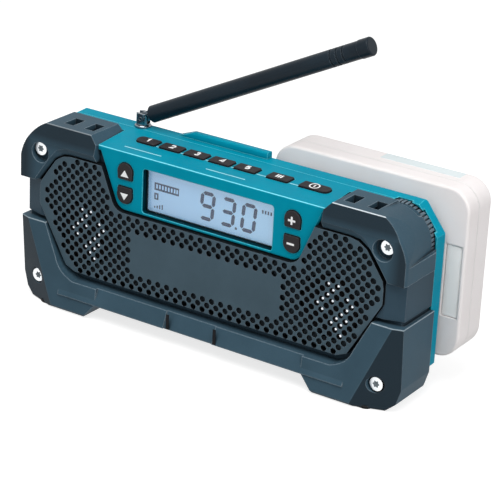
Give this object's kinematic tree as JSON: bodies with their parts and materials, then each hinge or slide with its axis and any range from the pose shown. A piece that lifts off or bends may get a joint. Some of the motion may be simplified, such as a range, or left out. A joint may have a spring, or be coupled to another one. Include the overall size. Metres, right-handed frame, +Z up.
{
  "type": "jobsite radio",
  "caption": "Battery-powered jobsite radio with corner guards, perforated speaker grille, display, keys, tuning wheel, tilting antenna and a slide-off battery pack.",
  "frame": {"origin": "on the standing surface, mid-width, below the grille's front face", "axes": "+X to the listener's right, +Y to the back, +Z up"},
  "size_m": [0.2637, 0.0779, 0.1861],
  "materials": {
    "housing_black": "fine-grained moulding",
    "housing_teal": "satin moulding",
    "guard_slate": "matte moulded guard, bonded over the shell",
    "pad_rubber": "matte",
    "grille_slate": "fine-grained moulding",
    "speaker_steel": "pressed and plated",
    "cone_black": "coated paper",
    "cap_silver": "polished dome",
    "bezel_dark": "gloss",
    "lens_clear": "clear, thin",
    "panel_grey": "blue-grey liquid crystal",
    "backlight_white": "frosted",
    "board_green": "lacquered board",
    "wheel_dark": "ribbed",
    "key_dark": "moulded keys with light signs",
    "bright_chrome": "polished",
    "screw_steel": "zinc plated",
    "antenna_dark": "flexible sleeve",
    "pack_pale": "pale, fine-grained",
    "cell_sleeve": "shrink sleeve",
    "contact_brass": "plated"
  },
  "bodies": {
    "housing": {"front_housing": "housing_black", "rear_housing": "housing_teal", "control_fascia": "housing_teal", "top_left_bumper": "guard_slate", "top_right_bumper": "guard_slate", "bottom_bumper": "guard_slate", "foot_pad_left": "pad_rubber", "foot_pad_right": "pad_rubber", "speaker_grille": "grille_slate", "speaker_frame_left": "speaker_steel", "speaker_frame_right": "speaker_steel", "speaker_cone_left": "cone_black", "speaker_cone_right": "cone_black", "dust_cap_left": "cap_silver", "dust_cap_right": "cap_silver", "display_bezel": "bezel_dark", "display_lens": "lens_clear", "display_panel": "panel_grey", "display_backlight": "backlight_white", "main_board": "board_green", "key_board": "board_green", "tuning_encoder": "housing_black", "antenna_socket": "bright_chrome", "front_screws": "screw_steel", "terminal_block": "housing_black"},
    "up_key_body": {"up_key": "key_dark"},
    "down_key_body": {"down_key": "key_dark"},
    "plus_key_body": {"plus_key": "key_dark"},
    "minus_key_body": {"minus_key": "key_dark"},
    "preset_key_1_body": {"preset_key_1": "key_dark"},
    "preset_key_2_body": {"preset_key_2": "key_dark"},
    "preset_key_3_body": {"preset_key_3": "key_dark"},
    "preset_key_4_body": {"preset_key_4": "key_dark"},
    "preset_key_5_body": {"preset_key_5": "key_dark"},
    "band_key_body": {"band_key": "key_dark"},
    "power_key_body": {"power_key": "key_dark"},
    "wheel": {"tuning_wheel": "wheel_dark"},
    "antenna_base": {"antenna_swivel": "bright_chrome", "antenna_hinge_pin": "bright_chrome"},
    "antenna": {"antenna_knuckle": "bright_chrome", "antenna_rod": "antenna_dark", "antenna_tip_cap": "antenna_dark"},
    "battery": {"battery_case_front": "pack_pale", "battery_case_rear": "pack_pale", "battery_cells": "cell_sleeve", "battery_contacts": "contact_brass"},
    "latch": {"battery_latch": "pack_pale"}
  },
  "joints": [
    {"name": "up_key_press", "type": "slide", "parent": "housing", "child": "up_key_body", "axis": [0, 1, 0], "range_m": [0, 0.0008], "stiffness_N_per_m": 500, "springref_m": -0.0008},
    {"name": "down_key_press", "type": "slide", "parent": "housing", "child": "down_key_body", "axis": [0, 1, 0], "range_m": [0, 0.0008], "stiffness_N_per_m": 500, "springref_m": -0.0008},
    {"name": "plus_key_press", "type": "slide", "parent": "housing", "child": "plus_key_body", "axis": [0, 1, 0], "range_m": [0, 0.0008], "stiffness_N_per_m": 500, "springref_m": -0.0008},
    {"name": "minus_key_press", "type": "slide", "parent": "housing", "child": "minus_key_body", "axis": [0, 1, 0], "range_m": [0, 0.0008], "stiffness_N_per_m": 500, "springref_m": -0.0008},
    {"name": "preset_key_1_press", "type": "slide", "parent": "housing", "child": "preset_key_1_body", "axis": [0, 0.0854, -0.9963], "range_m": [0, 0.0008], "stiffness_N_per_m": 500, "springref_m": -0.0008},
    {"name": "preset_key_2_press", "type": "slide", "parent": "housing", "child": "preset_key_2_body", "axis": [0, 0.0854, -0.9963], "range_m": [0, 0.0008], "stiffness_N_per_m": 500, "springref_m": -0.0008},
    {"name": "preset_key_3_press", "type": "slide", "parent": "housing", "child": "preset_key_3_body", "axis": [0, 0.0854, -0.9963], "range_m": [0, 0.0008], "stiffness_N_per_m": 500, "springref_m": -0.0008},
    {"name": "preset_key_4_press", "type": "slide", "parent": "housing", "child": "preset_key_4_body", "axis": [0, 0.0854, -0.9963], "range_m": [0, 0.0008], "stiffness_N_per_m": 500, "springref_m": -0.0008},
    {"name": "preset_key_5_press", "type": "slide", "parent": "housing", "child": "preset_key_5_body", "axis": [0, 0.0854, -0.9963], "range_m": [0, 0.0008], "stiffness_N_per_m": 500, "springref_m": -0.0008},
    {"name": "band_key_press", "type": "slide", "parent": "housing", "child": "band_key_body", "axis": [0, 0.0854, -0.9963], "range_m": [0, 0.0008], "stiffness_N_per_m": 500, "springref_m": -0.0008},
    {"name": "power_key_press", "type": "slide", "parent": "housing", "child": "power_key_body", "axis": [0, 0.0854, -0.9963], "range_m": [0, 0.0008], "stiffness_N_per_m": 500, "springref_m": -0.0008},
    {"name": "tuning_turn", "type": "hinge", "parent": "housing", "child": "wheel", "pos_m": [0.1038, 0.033, 0.0868], "axis": [0, -1, 0], "continuous": true},
    {"name": "antenna_swivel_turn", "type": "hinge", "parent": "housing", "child": "antenna_base", "pos_m": [-0.0695, 0.0376, 0.1084], "axis": [0, 0, 1], "continuous": true},
    {"name": "antenna_tilt", "type": "hinge", "parent": "antenna_base", "child": "antenna", "pos_m": [-0.0695, 0.0376, 0.1124], "axis": [0.061, -0.9981, 0], "range_deg": [-14, 63.8]},
    {"name": "battery_slide_off", "type": "slide", "parent": "housing", "child": "battery", "axis": [1, 0, 0], "range_m": [0, 0.125]},
    {"name": "battery_latch_press", "type": "slide", "parent": "battery", "child": "latch", "axis": [0, 1, 0], "range_m": [0, 0.003], "stiffness_N_per_m": 500, "springref_m": -0.002}
  ]
}
